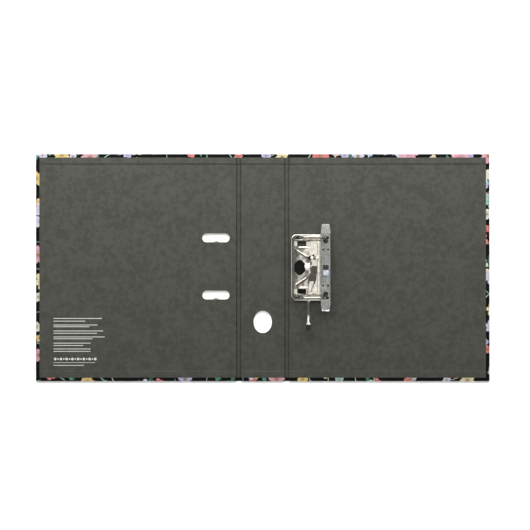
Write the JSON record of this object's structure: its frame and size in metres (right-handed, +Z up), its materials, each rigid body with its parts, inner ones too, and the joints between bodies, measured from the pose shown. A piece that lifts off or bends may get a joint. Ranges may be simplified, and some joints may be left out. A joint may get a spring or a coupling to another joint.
{
  "type": "lever arch file",
  "caption": "Lever arch file for A4 sheets, open and flat: hinged covers and spine, nickel arches opened by a lever, and a sliding compressor bar.",
  "frame": {"origin": "middle of the spine board on the surface that the open file lies on", "axes": "+X from the front cover's fore edge towards the back cover's, +Y from foot to head, +Z up, out of the file's inside"},
  "size_m": [0.635, 0.318, 0.0743],
  "materials": {
    "greyboard": "matte grey board",
    "printed_wrap": "satin laminated paper, black with small pastel flowers",
    "lining_paper": "matte dark grey mottled paper",
    "ring_metal": "nickel plated",
    "plate_nickel": "nickel plated pressed steel",
    "wire_nickel": "bright nickel plated wire",
    "pin_steel": "nickel plated steel",
    "lever_nickel": "nickel plated pressed steel",
    "cap_plastic": "black moulded plastic",
    "roller_nylon": "white nylon",
    "pad_foam": "black cell rubber",
    "bar_zinc": "blue zinc plated steel",
    "button_zinc": "bright blue zinc plated steel",
    "spring_steel": "spring steel wire"
  },
  "bodies": {
    "back_cover": {"back_board": "greyboard", "back_wrap": "printed_wrap", "back_lining": "lining_paper", "rear_groove_wrap": "printed_wrap", "rear_groove_lining": "lining_paper", "base_plate": "plate_nickel", "damping_pad": "pad_foam", "mounting_rivets": "pin_steel", "post_head": "pin_steel", "post_foot": "pin_steel", "lever_pivot_pin": "spring_steel"},
    "spine": {"spine_board": "greyboard", "spine_wrap": "printed_wrap", "spine_lining": "lining_paper", "finger_ring": "ring_metal", "front_groove_wrap": "printed_wrap", "front_groove_lining": "lining_paper"},
    "front_cover": {"front_board": "greyboard", "front_wrap": "printed_wrap", "front_lining": "lining_paper", "slot_ring_head": "ring_metal", "slot_ring_foot": "ring_metal"},
    "arches": {"arch_wire": "wire_nickel"},
    "lever": {"lever_arm": "lever_nickel", "lever_cap": "cap_plastic", "roller_pin": "pin_steel"},
    "roller": {"roller": "roller_nylon"},
    "compressor": {"compressor_bar": "bar_zinc", "release_spring": "spring_steel"},
    "button": {"thumb_button": "button_zinc"},
    "head_grip": {"grip_plate_head": "spring_steel"},
    "foot_grip": {"grip_plate_foot": "spring_steel"}
  },
  "joints": [
    {"name": "spine_fold", "type": "hinge", "parent": "back_cover", "child": "spine", "pos_m": [0.03375, 0, 0.0012], "axis": [0, 1, 0], "range_deg": [0, 90], "deforming": ["rear_groove_wrap", "rear_groove_lining"]},
    {"name": "front_fold", "type": "hinge", "parent": "spine", "child": "front_cover", "pos_m": [-0.03375, 0, 0.0012], "axis": [0, 1, 0], "range_deg": [0, 90], "deforming": ["front_groove_wrap", "front_groove_lining"]},
    {"name": "lever_lift", "type": "hinge", "parent": "back_cover", "child": "lever", "pos_m": [0.0674, 0.012, 0.0249], "axis": [1, 0, 0], "range_deg": [-87, 0]},
    {"name": "arch_swing", "type": "hinge", "parent": "back_cover", "child": "arches", "pos_m": [0.046, 0, 0.0076], "axis": [0, 1, 0], "range_deg": [-57, 0]},
    {"name": "roller_spin", "type": "hinge", "parent": "lever", "child": "roller", "pos_m": [0.062, 0.0014, 0.0149], "axis": [1, 0, 0], "continuous": true},
    {"name": "compressor_slide", "type": "slide", "parent": "back_cover", "child": "compressor", "axis": [0, 0, 1], "range_m": [0, 0.038]},
    {"name": "thumb_press", "type": "slide", "parent": "compressor", "child": "button", "axis": [0, 0, -1], "range_m": [0, 0.0015], "stiffness_N_per_m": 300, "springref_m": -0.001, "deforming": ["release_spring"]},
    {"name": "head_grip_tilt", "type": "hinge", "parent": "compressor", "child": "head_grip", "pos_m": [0.0875, 0.045, 0.008], "axis": [1, 0, 0], "range_deg": [0, 6]},
    {"name": "foot_grip_tilt", "type": "hinge", "parent": "compressor", "child": "foot_grip", "pos_m": [0.0875, -0.045, 0.008], "axis": [1, 0, 0], "range_deg": [-6, 0]}
  ],
  "couplings": [
    {"joint": "arch_swing", "follows": "lever_lift", "ratio": 0.655},
    {"joint": "head_grip_tilt", "follows": "thumb_press", "rad_per_m": 69.806},
    {"joint": "foot_grip_tilt", "follows": "thumb_press", "rad_per_m": -69.806}
  ]
}
